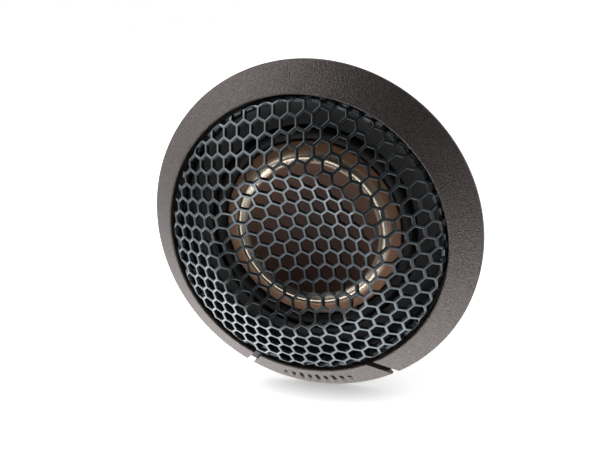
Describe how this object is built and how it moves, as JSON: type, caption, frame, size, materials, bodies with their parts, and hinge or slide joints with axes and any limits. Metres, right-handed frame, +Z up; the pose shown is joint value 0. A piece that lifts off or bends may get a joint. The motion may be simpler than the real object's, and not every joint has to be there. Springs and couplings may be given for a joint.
{
  "type": "car tweeter",
  "caption": "Round flush-mount car tweeter: inverted M-shaped dome behind a dished hexagonal grille in a conical ring.",
  "frame": {"origin": "on the acoustic axis, in the plane of the flange's rear face, where it meets the panel", "axes": "+Z up with the badge at the bottom, the front faces -Y, and +Y points into the panel"},
  "size_m": [0.046, 0.0287, 0.046],
  "materials": {
    "powder_coat": "fine-textured matt powder coat, warm grey",
    "grille_paint": "satin paint, dark blue-grey",
    "gloss_black": "polished black",
    "black_plastic": "fine moulded texture",
    "foam": "closed-cell foam",
    "surround_rubber": "matt coated cloth",
    "dome_metal": "bronze-anodised aluminium, satin",
    "former_metal": "satin",
    "copper_wire": "lacquered copper wire",
    "sleeve_plastic": "shrink sleeve",
    "wire_insulation": "PVC insulation",
    "plated_steel": "zinc-plated",
    "magnet_nickel": "nickel-plated sintered magnet",
    "felt": "wool felt",
    "screw_steel": "bright zinc",
    "board": "phenolic board",
    "brass_tin": "gold-flashed brass"
  },
  "bodies": {
    "frame": {"trim_ring": "powder_coat", "badge_plate": "powder_coat", "grille": "grille_paint", "faceplate": "gloss_black", "housing": "black_plastic", "flange_gasket": "foam", "surround": "surround_rubber", "coil_leads": "copper_wire", "lead_sleeves": "sleeve_plastic", "terminal_wires": "wire_insulation", "pole_plate": "plated_steel", "magnet": "magnet_nickel", "yoke": "plated_steel", "pole_felt": "felt", "motor_bracket": "plated_steel", "motor_screws": "screw_steel", "rear_cover": "black_plastic", "cover_screws": "screw_steel", "stud": "screw_steel", "stud_nut": "screw_steel", "terminal_board": "board", "board_rivets": "brass_tin", "terminal_positive": "brass_tin", "terminal_negative": "brass_tin"},
    "diaphragm": {"dome": "dome_metal", "coil_former": "former_metal", "voice_coil": "copper_wire"}
  },
  "joints": [
    {"name": "diaphragm_travel", "type": "slide", "parent": "frame", "child": "diaphragm", "axis": [0, -1, 0], "range_m": [-0.0004, 0.0004], "stiffness_N_per_m": 1500, "deforming": ["surround", "coil_leads"]}
  ]
}
